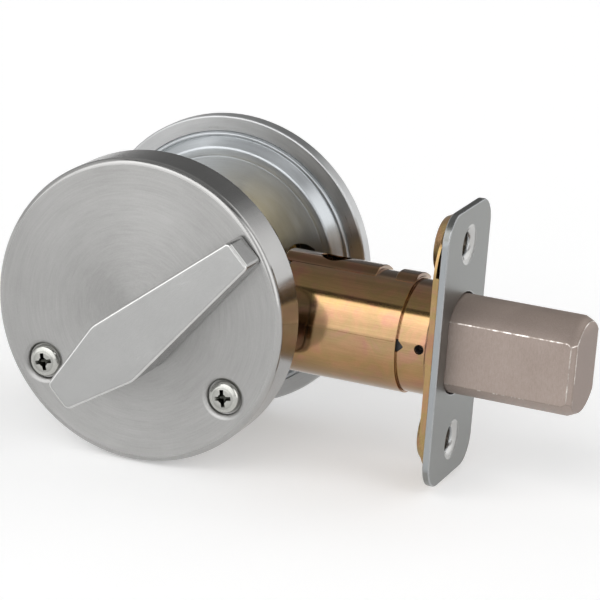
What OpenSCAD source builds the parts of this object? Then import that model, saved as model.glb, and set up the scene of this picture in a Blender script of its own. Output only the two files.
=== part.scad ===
/* [Door fit] */
// Backset, from the hub axis to the front of the faceplate
backset = 60.3; // [60:0.1:61]
// Inside face of the door, where the rose rests
door_in_y = -16.2; // [-17:0.1:-16]
// Outside face of the door, where the outside ring rests
door_out_y = 20; // [19.5:0.1:21]
// Height of the round trims' centre above the bolt's axis
trim_z = 1.8; // [1.5:0.1:2]
// Height of the turning axis relative to the bolt's axis
hub_z = -4.4; // [-4.5:0.1:-4.2]

/* [Bolt] */
// Travel of the bolt
bolt_throw = 25.4; // [25:0.1:25.5]
// How far the nose stands proud of the faceplate when the bolt is drawn back
bolt_proud = 1.0; // [0:0.1:1.5]
// Radius of the bolt's round top and bottom
bolt_r = 10.2; // [10:0.05:10.25]
// Half of the width across the bolt's two flats
bolt_half_w = 7.87; // [7.7:0.01:7.9]
// Rear end of the bolt when it is thrown
bolt_rear_x = 42; // [41.5:0.1:43]

/* [Latch tube] */
// Outer radius of the sleeve
sleeve_r = 12.05; // [11.95:0.05:12.2]
// Wall of the sleeve
sleeve_wall = 0.7; // [0.6:0.05:0.75]
// Front edge of the sleeve
sleeve_front_x = 50.7; // [50:0.1:51]
// Outer radius of the neck in front of the sleeve
neck_r = 11.65; // [11.5:0.05:11.7]
// Rear face of the backplate
back_x = 57.5; // [57.3:0.1:57.6]

/* [Faceplate] */
// Width of the faceplate
face_w = 25.4; // [25:0.1:26]
// Height of the faceplate
face_h = 57.15; // [57:0.05:58]
// Corner radius of the faceplate
face_corner = 6; // [3:0.5:8]
// Height of the backplate behind the faceplate
back_h = 54; // [53.9:0.1:56]
// Corner radius of the backplate
back_corner = 11.5; // [11.45:0.05:12]
// Thickness of the faceplate
face_t = 1.5; // [1.3:0.1:1.6]
// Distance between the two faceplate screw holes
screw_gap = 41.3; // [41:0.1:42]
// Radius of the faceplate's screw holes
screw_hole_r = 2.5; // [2.2:0.1:2.6]

/* [Trims] */
// Radius of the inside rose
rose_r = 31.5; // [31:0.1:32]
// Front face of the inside rose
rose_face_y = -25.4; // [-25.6:0.1:-25.2]
// Edge fillet of the rose
rose_fillet = 1.4; // [1:0.1:1.5]
// Wall of the rose
rose_wall = 1.3; // [1.2:0.1:1.4]
// Radius of the outside ring
ring_r = 31.7; // [31.5:0.1:32]
// Sideways distance of each mounting screw
mount_x = 20.1; // [19.9:0.1:20.2]
// Height of the mounting screws
mount_z = -12.4; // [-12.5:0.1:-12.3]

/* [Thumbturn] */
// Length of the lever from its axis to its low end
lever_long = 34.1; // [32:0.1:34.2]
// Length of the lever from its axis to its tall end
lever_short = 13; // [12:0.1:14]
// Half of the lever's width at its shoulders
lever_half = 6.95; // [6:0.05:7.5]
// Half of the lever's width at its two ends
lever_end = 3.25; // [3:0.05:4]
// Angle of the lever from upright
lever_angle = 45; // [45:1:45]

/* [Cylinder] */
// Radius of the key cylinder
cyl_r = 14.4; // [14.2:0.1:14.4]
// Radius of the turning plug
plug_r = 6.35; // [6.3:0.01:6.36]
// Number of pin chambers
pins = 5; // [3:1:5]

/* [Hidden] */
e = 0.5;
face_x = backset - face_t;
back_t = face_x - back_x;
guide_r = 10.88;
crank_len = bolt_throw / 2 / sin(45);
slot_half = 2.5;
face_y = rose_face_y;
plate_in = door_in_y - 0.1;
cyl_rear = 9;
cyl_front = 34.6;
plug_rear = 12.2;
plug_front = 35;
dish_y = door_out_y - 2.5;
strap_hole_x = 31.7;
strap_hole_y = 1.8;
strap_hole_r = 3.2;

function arc(cx, cy, r, a0, a1, n) = [for (i = [0:n]) let (a = a0 + (a1 - a0) * i / n) [cx + r * cos(a), cy + r * sin(a)]];
function rrect(w, h, r, n) = concat(
    arc(w / 2 - r, h / 2 - r, r, 0, 90, n), arc(-w / 2 + r, h / 2 - r, r, 90, 180, n),
    arc(-w / 2 + r, -h / 2 + r, r, 180, 270, n), arc(w / 2 - r, -h / 2 + r, r, 270, 360, n));

// A flat outline given in (x, z), thick from y0 to y1
module slab_y(y0, y1) { translate([0, y1, 0]) rotate([90, 0, 0]) linear_extrude(y1 - y0) children(); }
// A round bar along Y
module cyl_y(r, y0, y1, x = 0, z = 0) { translate([x, y1, z]) rotate([90, 0, 0]) cylinder(r = r, h = y1 - y0, $fn = 96); }
// A round bar along X
module cyl_x(r, x0, x1, y = 0, z = 0) { translate([x0, y, z]) rotate([0, 90, 0]) cylinder(r = r, h = x1 - x0, $fn = 96); }
// A round bar along Z
module cyl_z(r, z0, z1, x = 0, y = 0) { translate([x, y, z0]) cylinder(r = r, h = z1 - z0, $fn = 96); }
// A turned shape about a Y axis, outline in (radius, y)
module lathe_y(pts, x = 0, z = 0) { translate([x, 0, z]) rotate([-90, 0, 0]) rotate_extrude($fn = 128) polygon(pts); }
// A turned shape about the X axis, outline in (radius, x)
module lathe_x(pts, y = 0, z = 0) { translate([0, y, z]) rotate([0, 90, 0]) rotate_extrude($fn = 128) polygon(pts); }
// A flat outline given in (z, y) about X, thick from x0 to x1
module slab_x(x0, x1) { translate([x0, 0, 0]) rotate([0, 90, 0]) linear_extrude(x1 - x0) children(); }
// The bolt's section: round above and below, flat on both sides
module double_d(x0, x1, r, hw) {
    intersection() {
        cyl_x(r, x0, x1);
        translate([x0 - e, -hw, -r - 1]) cube([x1 - x0 + 2 * e, 2 * hw, 2 * r + 2]);
    }
}
module at_screws() { for (s = [-1, 1]) translate([s * mount_x, 0, mount_z]) children(); }

// ---- inside trim ----
module inside_rose() color("silver") {
    f = rose_fillet;
    difference() {
        union() {
            lathe_y(concat(
                [[0, face_y]],
                arc(rose_r - f, face_y + f, f, -90, 0, 8),
                [[rose_r, door_in_y], [rose_r - rose_wall, door_in_y], [rose_r - rose_wall, face_y + rose_wall + 0.6],
                 [rose_r - rose_wall - 0.6, face_y + rose_wall], [0, face_y + rose_wall]]), 0, trim_z);
            at_screws() cyl_y(5.4, face_y + rose_wall - 0.2, face_y + 2.5);
        }
        at_screws() cyl_y(3.6, face_y - e, face_y + 1.1);
        at_screws() cyl_y(2.3, face_y, face_y + 4);
        // the turning axis lies below the rose's centre
        cyl_y(6.45, face_y - e, face_y + 3, 0, hub_z);
    }
}
module inside_plate() color("gainsboro") {
    difference() {
        cyl_y(rose_r - rose_wall - 0.3, plate_in - 1.3, plate_in, 0, trim_z);
        cyl_y(5.4, plate_in - 3, plate_in + 1, 0, hub_z);
        at_screws() cyl_y(2.3, plate_in - 3, plate_in + 1);
    }
}
module turn_bushing() color("ivory") {
    difference() {
        union() {
            cyl_y(6.4, face_y + 0.1, plate_in - 1.35, 0, hub_z);
            cyl_y(7.8, face_y + rose_wall + 0.05, face_y + rose_wall + 1, 0, hub_z);
        }
        cyl_y(5.06, face_y - 1, plate_in, 0, hub_z);
    }
}
module wave_washer() color("dimgray") {
    difference() {
        cyl_y(7.8, plate_in + 0.1, plate_in + 0.7, 0, hub_z);
        cyl_y(5.45, plate_in - 1, plate_in + 2, 0, hub_z);
    }
}
module mounting_screws() color("whitesmoke") {
    at_screws() difference() {
        union() {
            // low domed head
            lathe_y([[0, face_y + 1.1], [3.25, face_y + 1.1], [3.25, face_y + 0.3], [3.05, face_y],
                     [2.5, face_y - 0.27], [1.8, face_y - 0.45], [0.9, face_y - 0.56], [0, face_y - 0.6]]);
            cyl_y(2.08, face_y + 1, 21);
        }
        // cross recess
        for (a = [10, 100]) rotate([0, a, 0]) slab_y(face_y - 1.5, face_y + 0.75)
            polygon([[-1.9, -0.4], [1.9, -0.4], [1.9, 0.4], [-1.9, 0.4]]);
    }
}

// ---- latch ----
module faceplate() color("darkgray") {
    difference() {
        union() {
            slab_x(face_x, backset) polygon(rrect(face_h, face_w, face_corner, 8));
            // drawn collars around the screw holes
            for (s = [-1, 1]) cyl_x(3.2, back_x - 1.1, face_x + 0.05, 0, s * screw_gap / 2);
        }
        double_d(face_x - 1, backset + 1, bolt_r + 0.3, bolt_half_w + 0.3);
        for (s = [-1, 1]) translate([0, 0, s * screw_gap / 2]) {
            cyl_x(screw_hole_r, back_x - 2, backset + 1);
            translate([face_x + 0.4, 0, 0]) rotate([0, 90, 0]) cylinder(r1 = screw_hole_r, r2 = 4.1, h = face_t - 0.39, $fn = 96);
        }
    }
}
module backplate() color("goldenrod") {
    difference() {
        union() {
            slab_x(back_x, face_x) polygon(rrect(back_h, face_w - 0.8, back_corner, 8));
            // pressed cups around the screw holes
            for (s = [-1, 1]) translate([0, 0, s * (screw_gap / 2 - 1)])
                lathe_x([[0, back_x - 2.8], [5.3, back_x - 2.8], [5.9, back_x - 2.5], [7.2, back_x + 0.05], [0, back_x + 0.05]]);
        }
        // the upper end stands off the faceplate at both edges
        for (s = [-1, 1]) translate([face_x - 0.75, s * 9.5 - 4, 16.2]) cube([2, 8, 6.6]);
        double_d(back_x - 1, face_x + 1, guide_r - 0.4, bolt_half_w + 0.3);
        for (s = [-1, 1]) translate([0, 0, s * screw_gap / 2]) {
            cyl_x(screw_hole_r + 0.2, back_x - 4, face_x + 1);
            translate([back_x - 1.4, 0, 0]) rotate([0, 90, 0]) cylinder(r1 = 3.5, r2 = 4.9, h = 2.8, $fn = 96);
        }
    }
}
module latch_neck() color("goldenrod") {
    s_in = sleeve_r - sleeve_wall;
    difference() {
        lathe_x([[guide_r + 0.02, 46], [s_in - 0.05, 46], [s_in - 0.05, sleeve_front_x], [neck_r, sleeve_front_x],
                 [neck_r, back_x], [guide_r + 0.02, back_x]]);
        // witness hole
        cyl_y(1, -13, -10, 55.6, 0.8);
        // index notch beside the sleeve's edge
        slab_y(-13, -10) polygon([[sleeve_front_x - 0.5, -0.7], [sleeve_front_x - 0.5, 2.1], [sleeve_front_x + 1.5, 0.7]]);
    }
}
module bolt_guide() color("black") {
    difference() {
        cyl_x(guide_r, 46.2, back_x);
        double_d(45, back_x + 1, bolt_r + 0.25, bolt_half_w + 0.22);
        cyl_y(1, -13, -7, 55.6, 0.8);
    }
}
module latch_sleeve() color("peru") {
    s_in = sleeve_r - sleeve_wall;
    difference() {
        union() {
            lathe_x([[s_in, 24], [sleeve_r, 24], [sleeve_r, sleeve_front_x - 0.2], [sleeve_r - 0.15, sleeve_front_x], [s_in, sleeve_front_x]]);
            // raised pad at the front edge
            intersection() {
                lathe_x([[sleeve_r - 0.2, 46.2], [sleeve_r, 46.2], [sleeve_r + 0.7, 46.9], [sleeve_r + 0.75, 49.9], [sleeve_r + 0.4, sleeve_front_x - 0.2],
                    [sleeve_r - 0.2, sleeve_front_x - 0.2]]);
                translate([45, -0.9, 8]) cube([7, 8.2, 8]);
            }
        }
        cyl_z(strap_hole_r, 8, 16, strap_hole_x, strap_hole_y);
    }
}
module sleeve_strap() color("peru") {
    // a curved strap over the top of the sleeve, towards the outside
    difference() {
        intersection() {
            lathe_x([[sleeve_r, 22], [sleeve_r + 0.85, 22], [sleeve_r + 0.85, 41.8], [sleeve_r + 0.65, 42], [sleeve_r, 42]]);
            translate([20, -0.9, 8]) cube([24, 8.2, 8]);
        }
        cyl_z(strap_hole_r, 8, 16, strap_hole_x, strap_hole_y);
    }
}
module cheek(s) {
    intersection() {
        translate([0, 0, -12]) linear_extrude(24) polygon([[-13, s * 5.3], [12.2, s * 5.3], [15.2, s * 8.3], [31, s * 8.3],
            [31, s * 9.3], [14.8, s * 9.3], [11.8, s * 6.3], [-13, s * 6.3]]);
        difference() {
            slab_y(-12, 12) polygon([[-13, -9.2], [-12, -10.2], [9, -10.2], [12.5, -6.2], [31, -6.2], [31, 6.2], [12.5, 6.2],
                [9, 9.8], [-10, 9.8], [-13, 7]]);
            cyl_y(3.65, -13, 13, 0, hub_z);
            for (x = [-9.5, 8.4]) cyl_y(1.3, -13, 13, x, -7.45);
        }
    }
}
module inner_cheek() color("goldenrod") cheek(-1);
module outer_cheek() color("goldenrod") cheek(1);
module case_rivets() color("silver") {
    for (x = [-9.5, 8.4]) {
        cyl_y(1.28, -6.3, 6.3, x, -7.45);
        for (s = [-1, 1]) cyl_y(2.1, min(s * 6.3, s * 6.9), max(s * 6.3, s * 6.9), x, -7.45);
    }
}
module case_spacers() color("darkgray") {
    for (x = [-9.5, 8.4]) difference() {
        cyl_y(2.15, -5.28, 5.28, x, -7.45);
        cyl_y(1.32, -6, 6, x, -7.45);
    }
}
module detent_spring() color("slategray") {
    translate([-11.5, -4.2, -10.05]) cube([21.8, 8.4, 0.45]);
}

// ---- outside trim and key cylinder ----
module outside_ring() color("silver") {
    y0 = door_out_y;
    lathe_y([[28.35, y0], [ring_r - 0.3, y0], [ring_r, y0 + 0.3], [ring_r, y0 + 3], [24.9, 33.2], [24.2, 33.9], [14.5, 33.9],
             [14.5, 31.7], [22.9, 31.7], [28.35, y0 + 3.2]], 0, trim_z);
}
module outside_plate() color("silver") {
    y0 = door_out_y;
    difference() {
        union() {
            lathe_y([[14.5, dish_y], [24.5, dish_y], [25.1, dish_y + 0.12], [25.6, dish_y + 0.45], [27.1, y0 - 0.55], [27.3, y0 - 0.45],
                [27.55, y0 - 0.65], [27.95, y0 - 0.6], [28.2, y0 - 0.25], [28.3, y0 - 0.05], [28.3, y0 + 1.2], [27.3, y0 + 1.2],
                [24.7, dish_y + 1.3], [14.5, dish_y + 1.2]], 0, trim_z);
            // threaded bosses for the mounting screws
            intersection() {
                at_screws() cyl_y(3.8, dish_y + 1, 24.5);
                lathe_y([[0, dish_y + 0.5], [25.6, dish_y + 0.5], [27.6, y0 + 0.5], [27.9, y0 + 2.4], [27, 25], [0, 25]], 0, trim_z);
            }
        }
        at_screws() cyl_y(2.12, dish_y - 1, 25);
        for (s = [-1, 1]) cyl_y(4.3, dish_y - 1, dish_y + 2, s * 18, 5);
    }
}
module cylinder_body() color("burlywood") {
    difference() {
        union() {
            cyl_y(cyl_r, cyl_rear, cyl_front, 0, trim_z);
            cyl_y(17, dish_y + 1.25, dish_y + 3.2, 0, trim_z);
        }
        cyl_y(plug_r + 0.05, plug_rear - 0.02, cyl_front + 1, 0, hub_z);
        cyl_y(6.8, cyl_rear - 1, plug_rear, 0, hub_z);
        for (i = [0:pins - 1]) cyl_z(1.45, hub_z + 4, 17, 0, 30.2 - 3.97 * i);
    }
}
module cylinder_spacer() color("darkgray") {
    difference() {
        cyl_y(17, dish_y + 3.25, 31.6, 0, trim_z);
        cyl_y(cyl_r + 0.1, dish_y, 33, 0, trim_z);
    }
}
module tail_retainer() color("darkgray") {
    difference() {
        cyl_y(8.2, cyl_rear - 0.9, cyl_rear, 0, hub_z);
        cyl_y(3.4, cyl_rear - 2, cyl_rear + 1, 0, hub_z);
    }
}
module driver_pins() color("gold") {
    for (i = [0:pins - 1]) cyl_z(1.4, hub_z + 6.5, hub_z + 10.6, 0, 30.2 - 3.97 * i);
}
module pin_springs() color("silver") {
    for (i = [0:pins - 1]) translate([0, 30.2 - 3.97 * i, hub_z + 10.65])
        linear_extrude(height = 7.3, twist = -360 * 5, slices = 30) translate([0.95, 0]) circle(r = 0.26, $fn = 5);
}
module chamber_caps() color("gold") {
    for (i = [0:pins - 1]) cyl_z(1.4, hub_z + 18.05, hub_z + 19.2, 0, 30.2 - 3.97 * i);
}

// ---- pieces that turn with the thumbturn ----
module thumbturn() color("lightgray") {
    y_long = -38.6 + 0.185 * lever_long;
    y_short = -38.6 - 0.185 * lever_short;
    difference() {
        union() {
            translate([0, 0, hub_z]) rotate([0, -lever_angle, 0]) intersection() {
                slab_y(-42, face_y - 0.35) polygon([[lever_long, lever_end], [1.6, lever_half], [-lever_short, lever_end],
                    [-lever_short, -lever_end], [1.6, -lever_half], [lever_long, -lever_end]]);
                translate([0, 0, -9]) linear_extrude(18) polygon([[lever_long, face_y - 0.35], [lever_long, y_long],
                    [-lever_short, y_short], [-lever_short, face_y - 0.35]]);
            }
            cyl_y(5, face_y - 1, -13.5, 0, hub_z);
        }
        translate([0, 0, hub_z]) rotate([0, -lever_angle, 0]) slab_y(-21.5, -12)
            polygon([[-2.35, -1.15], [2.35, -1.15], [2.35, 1.15], [-2.35, 1.15]]);
        // groove for the clip
        difference() {
            cyl_y(6, -15.3, -14.4, 0, hub_z);
            cyl_y(4.2, -16, -14, 0, hub_z);
        }
    }
}
module turn_clip() color("dimgray") {
    difference() {
        cyl_y(7.2, -15.25, -14.45, 0, hub_z);
        cyl_y(4.25, -16, -14, 0, hub_z);
        translate([-3.2, -16, hub_z - 9]) cube([6.4, 3, 9]);
    }
}
module cam_crank() color("gray") {
    difference() {
        union() {
            cyl_y(3.6, -6.8, 6.8, 0, hub_z);
            difference() {
                cyl_y(4.9, -5.05, 5.05, 0, hub_z);
                // detent flats
                for (a = [45, 135]) translate([0, 0, hub_z]) rotate([0, a, 0]) translate([-6, -6, -8.6]) cube([12, 12, 4]);
            }
            translate([0, 0, hub_z]) rotate([0, lever_angle, 0]) {
                slab_y(-1.9, 1.9) polygon([[-2.6, 0], [2.6, 0], [1.0, crank_len - 1.2], [-1.0, crank_len - 1.2]]);
                cyl_y(1.9, -1.9, 1.9, 0, crank_len);
            }
        }
        translate([0, 0, hub_z]) rotate([0, -lever_angle, 0]) slab_y(-9, 9)
            polygon([[-2.35, -1.15], [2.35, -1.15], [2.35, 1.15], [-2.35, 1.15]]);
    }
}
module sector(r0, r1, y0, y1, a, w) {
    // a ring sector centred on angle a from upright, w degrees wide
    translate([0, 0, hub_z]) rotate([0, a, 0]) difference() {
        intersection() {
            cyl_y(r1, y0, y1);
            slab_y(y0, y1) polygon([[0, 0], [-3 * r1 * tan(w / 2), 3 * r1], [3 * r1 * tan(w / 2), 3 * r1]]);
        }
        cyl_y(r0, y0 - 1, y1 + 1);
    }
}
module tailpiece() color("silver") {
    translate([0, 0, hub_z]) rotate([0, -lever_angle, 0]) slab_y(-21.2, cyl_rear + 0.5)
        polygon([[-2.3, -1.1], [2.3, -1.1], [2.3, 1.1], [-2.3, 1.1]]);
    cyl_y(6.3, cyl_rear + 0.4, cyl_rear + 1.4, 0, hub_z);
    sector(2.2, 5.8, cyl_rear + 1.35, plug_rear - 0.8, 45, 40);
}

// ---- pieces that slide with the bolt ----
module deadbolt() color("rosybrown") {
    x1 = backset + bolt_throw + bolt_proud;
    difference() {
        intersection() {
            double_d(bolt_rear_x, x1, bolt_r, bolt_half_w);
            // chamfered nose
            lathe_x([[0, bolt_rear_x - 1], [bolt_r + 1, bolt_rear_x - 1], [bolt_r + 1, x1 - 1.9], [bolt_r - 0.9, x1], [0, x1]]);
            translate([0, 0, -12]) linear_extrude(24) polygon([[bolt_rear_x - 1, -9], [x1 - 1, -9], [x1 - 1, -bolt_half_w - 0.01], [x1, -bolt_half_w + 1],
                [x1, bolt_half_w - 1], [x1 - 1, bolt_half_w + 0.01], [x1 - 1, 9], [bolt_rear_x - 1, 9]]);
        }
        // slot for the tail
        translate([bolt_rear_x - 1, -3.45, 3.1]) cube([5.1, 6.9, 5.5]);
        // bore for the hardened pin
        cyl_x(3.05, bolt_rear_x - 1, 82, 0, -4);
        cyl_y(1.28, -9, 9, bolt_rear_x + 2, 5.8);
    }
}
module hardened_pin() color("dimgray") cyl_x(3, bolt_rear_x + 1.5, 81.9, 0, -4);
module bolt_tail() color("gray") {
    difference() {
        union() {
            for (s = [-1, 1]) slab_y(min(s * 2.3, s * 3.4), max(s * 2.3, s * 3.4))
                polygon([[7.4, 3.2], [bolt_rear_x + 4, 3.2], [bolt_rear_x + 4, 8.5], [21.5, 8.5], [18.5, 12.1], [7.4, 12.1]]);
            slab_y(-2.35, 2.35) polygon([[7.4, 9.06], [12.7 - slot_half, 9.06], [12.7 - slot_half, 12.1], [7.4, 12.1]]);
            slab_y(-2.35, 2.35) polygon([[12.7 + slot_half, 9.06], [18.5, 9.06], [18.5, 12.1], [12.7 + slot_half, 12.1]]);
            slab_y(-2.35, 2.35) polygon([[bolt_rear_x, 3.2], [bolt_rear_x + 4, 3.2], [bolt_rear_x + 4, 8.5], [bolt_rear_x, 8.5]]);
        }
        cyl_y(1.28, -9, 9, bolt_rear_x + 2, 5.8);
    }
}
module tail_rivet() color("silver") cyl_y(1.25, -bolt_half_w + 0.1, bolt_half_w - 0.1, bolt_rear_x + 2, 5.8);

// ---- pieces that turn with the key ----
module cylinder_plug() color("khaki") {
    difference() {
        cyl_y(plug_r, plug_rear, plug_front, 0, hub_z);
        translate([-0.8, plug_rear - 1, hub_z - 4.6]) cube([1.6, plug_front - plug_rear + 2, 7.2]);
        translate([0.3, plug_rear - 1, hub_z - 2.2]) cube([1.1, plug_front - plug_rear + 2, 1.2]);
        for (i = [0:pins - 1]) cyl_z(1.45, hub_z - 1, hub_z + 8, 0, 30.2 - 3.97 * i);
        // holes for the driver screws
        for (x = [-3.9, 3.9]) cyl_y(0.72, plug_rear - 1, plug_rear + 4, x, hub_z + 0.9);
    }
}
module key_pins() color("gold") {
    for (i = [0:pins - 1]) let (h = [2.2, 3.4, 1.2, 2.8, 0.6][i])
        translate([0, 30.2 - 3.97 * i, hub_z]) {
            translate([0, 0, h + 0.8]) cylinder(r = 1.4, h = 6.15 - h - 0.8, $fn = 96);
            translate([0, 0, h]) cylinder(r1 = 0.6, r2 = 1.4, h = 0.8, $fn = 96);
        }
}
module plug_driver() color("darkkhaki") {
    difference() {
        union() {
            sector(2.2, 5.8, cyl_rear + 1.6, plug_rear - 0.6, 180, 40);
            cyl_y(5.9, plug_rear - 0.6, plug_rear, 0, hub_z);
        }
        for (x = [-3.9, 3.9]) cyl_y(0.72, plug_rear - 2, plug_rear + 1, x, hub_z + 0.9);
    }
}
module driver_screws() color("silver") {
    for (x = [-3.9, 3.9]) cyl_y(0.7, plug_rear - 0.55, plug_rear + 3.8, x, hub_z + 0.9);
}

inside_rose();
inside_plate();
turn_bushing();
wave_washer();
mounting_screws();
faceplate();
backplate();
latch_neck();
bolt_guide();
latch_sleeve();
sleeve_strap();
inner_cheek();
outer_cheek();
case_rivets();
case_spacers();
detent_spring();
outside_ring();
outside_plate();
cylinder_body();
cylinder_spacer();
tail_retainer();
driver_pins();
pin_springs();
chamber_caps();
thumbturn();
turn_clip();
cam_crank();
tailpiece();
deadbolt();
hardened_pin();
bolt_tail();
tail_rivet();
cylinder_plug();
key_pins();
plug_driver();
driver_screws();
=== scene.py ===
import math

import bmesh
import bpy
from mathutils import Matrix, Vector


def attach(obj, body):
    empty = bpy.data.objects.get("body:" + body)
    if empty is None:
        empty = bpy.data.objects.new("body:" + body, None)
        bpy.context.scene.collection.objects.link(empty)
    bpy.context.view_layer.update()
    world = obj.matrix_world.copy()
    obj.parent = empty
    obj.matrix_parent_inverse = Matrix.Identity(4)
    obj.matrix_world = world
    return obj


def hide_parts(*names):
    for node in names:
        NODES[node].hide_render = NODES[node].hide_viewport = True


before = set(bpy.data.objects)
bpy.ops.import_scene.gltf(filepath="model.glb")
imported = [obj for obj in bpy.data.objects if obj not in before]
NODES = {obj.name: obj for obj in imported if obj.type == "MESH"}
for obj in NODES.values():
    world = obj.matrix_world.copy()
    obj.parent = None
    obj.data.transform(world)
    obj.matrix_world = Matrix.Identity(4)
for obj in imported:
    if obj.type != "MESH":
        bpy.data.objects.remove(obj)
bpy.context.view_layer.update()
SCENE = bpy.context.scene
MM = 0.001
PI = math.pi


# ---------------------------------------------------------------- mesh helpers (all lengths in mm)
def mesh_object(name, verts, faces):
    me = bpy.data.meshes.new(name)
    me.from_pydata([(x * MM, y * MM, z * MM) for x, y, z in verts], [], faces)
    bm = bmesh.new()
    bm.from_mesh(me)
    bmesh.ops.remove_doubles(bm, verts=bm.verts, dist=1e-7)
    bmesh.ops.dissolve_degenerate(bm, edges=bm.edges, dist=1e-8)
    bmesh.ops.recalc_face_normals(bm, faces=bm.faces)
    bm.to_mesh(me)
    bm.free()
    ob = bpy.data.objects.new(name, me)
    SCENE.collection.objects.link(ob)
    return ob


def fillet(pts, radii, n=6, closed=True):
    """Rounds the corners of a 2-D outline; radii is one number or one per point."""
    out = []
    m = len(pts)
    if isinstance(radii, (int, float)):
        radii = [radii] * m
    for i in range(m):
        p = Vector(pts[i])
        r = radii[i]
        if r <= 0 or (not closed and i in (0, m - 1)):
            out.append((p.x, p.y))
            continue
        a, b = Vector(pts[i - 1]) - p, Vector(pts[(i + 1) % m]) - p
        la, lb = a.length, b.length
        a.normalize()
        b.normalize()
        ang = math.acos(max(-1, min(1, a.dot(b))))
        if ang > PI - 0.02:
            out.append((p.x, p.y))
            continue
        t = min(r / math.tan(ang / 2), 0.49 * la, 0.49 * lb)
        rr = t * math.tan(ang / 2)
        c = p + (a + b).normalized() * (rr / math.sin(ang / 2))
        p0, p1 = p + a * t, p + b * t
        a0 = math.atan2(p0.y - c.y, p0.x - c.x)
        a1 = math.atan2(p1.y - c.y, p1.x - c.x)
        d = (a1 - a0 + PI) % (2 * PI) - PI
        for k in range(n + 1):
            q = a0 + d * k / n
            out.append((c.x + rr * math.cos(q), c.y + rr * math.sin(q)))
    return out


def lathe(name, profile, axis="y", at=(0, 0), segs=192):
    """A turned piece: a closed outline of (radius, height) about a line along `axis`."""
    verts, faces = [], []
    n = len(profile)
    for k in range(segs):
        a = 2 * PI * k / segs
        c, s = math.cos(a), math.sin(a)
        for r, h in profile:
            if axis == "y":
                verts.append((at[0] + r * c, h, at[1] + r * s))
            else:
                verts.append((h, at[0] + r * c, at[1] + r * s))
    for k in range(segs):
        k2 = (k + 1) % segs
        for i in range(n):
            j = (i + 1) % n
            if profile[i][0] < 1e-6 and profile[j][0] < 1e-6:
                continue
            faces.append((k * n + i, k * n + j, k2 * n + j, k2 * n + i))
    return mesh_object(name, verts, faces)


def prism(name, outline, h0, h1, put):
    """A flat outline of (u, v) made thick from h0 to h1; put(u, v, h) gives the point."""
    n = len(outline)
    verts = [put(u, v, h0) for u, v in outline] + [put(u, v, h1) for u, v in outline]
    faces = [tuple(range(n)), tuple(range(n, 2 * n))]
    faces += [(i, (i + 1) % n, n + (i + 1) % n, n + i) for i in range(n)]
    return mesh_object(name, verts, faces)


def loft(name, sections):
    """A skin over outlines that all have the same number of points, with both ends closed."""
    n = len(sections[0])
    verts = [p for s in sections for p in s]
    faces = [tuple(range(n)), tuple(range((len(sections) - 1) * n, len(sections) * n))]
    for k in range(len(sections) - 1):
        for i in range(n):
            j = (i + 1) % n
            faces.append((k * n + i, k * n + j, (k + 1) * n + j, (k + 1) * n + i))
    return mesh_object(name, verts, faces)


def block(name, x0, x1, y0, y1, z0, z1):
    return prism(name, [(x0, z0), (x1, z0), (x1, z1), (x0, z1)], y0, y1, lambda u, v, h: (u, h, v))


def rod_y(name, r, y0, y1, x=0.0, z=0.0, segs=64):
    return lathe(name, [(0, y0), (r, y0), (r, y1), (0, y1)], "y", (x, z), segs)


def rod_x(name, r, x0, x1, y=0.0, z=0.0, segs=64):
    return lathe(name, [(0, x0), (r, x0), (r, x1), (0, x1)], "x", (y, z), segs)


def boolean(ob, tool, op="DIFFERENCE"):
    m = ob.modifiers.new("cut", "BOOLEAN")
    m.object, m.operation, m.solver = tool, op, "EXACT"
    bpy.context.view_layer.update()
    dg = bpy.context.evaluated_depsgraph_get()
    me = bpy.data.meshes.new_from_object(ob.evaluated_get(dg))
    ob.modifiers.clear()
    old = ob.data
    ob.data = me
    bpy.data.meshes.remove(old)
    tm = tool.data
    bpy.data.objects.remove(tool)
    bpy.data.meshes.remove(tm)
    return ob


def join(ob, other):
    """Adds another closed shell to the same piece."""
    bm = bmesh.new()
    bm.from_mesh(ob.data)
    bm.from_mesh(other.data)
    bm.to_mesh(ob.data)
    bm.free()
    tm = other.data
    bpy.data.objects.remove(other)
    bpy.data.meshes.remove(tm)
    return ob


def finish_piece(ob, mat, body, replaces, bevel=0.2, segs=3, angle=30, edge=None):
    bm = bmesh.new()
    bm.from_mesh(ob.data)
    bmesh.ops.remove_doubles(bm, verts=bm.verts, dist=2e-6)
    rims = [e for e in bm.edges if e.is_boundary]
    if rims:
        bmesh.ops.holes_fill(bm, edges=rims, sides=12)
    bmesh.ops.recalc_face_normals(bm, faces=bm.faces)
    bm.to_mesh(ob.data)
    bm.free()
    ob.data.materials.clear()
    ob.data.materials.append(mat)
    if edge:
        ob.data.materials.append(edge)
    for p in ob.data.polygons:
        p.use_smooth = True
        p.material_index = 0
    if bevel:
        b = ob.modifiers.new("edges", "BEVEL")
        b.width, b.segments, b.limit_method = bevel * MM, segs, "ANGLE"
        b.angle_limit = math.radians(angle)
        b.use_clamp_overlap = True
        b.miter_outer = "MITER_ARC"
        if edge:
            b.material = 1
    w = ob.modifiers.new("normals", "WEIGHTED_NORMAL")
    w.mode, w.weight, w.keep_sharp = "FACE_AREA", 50, False
    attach(ob, body)
    if replaces:
        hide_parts(*replaces)
    return ob


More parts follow.
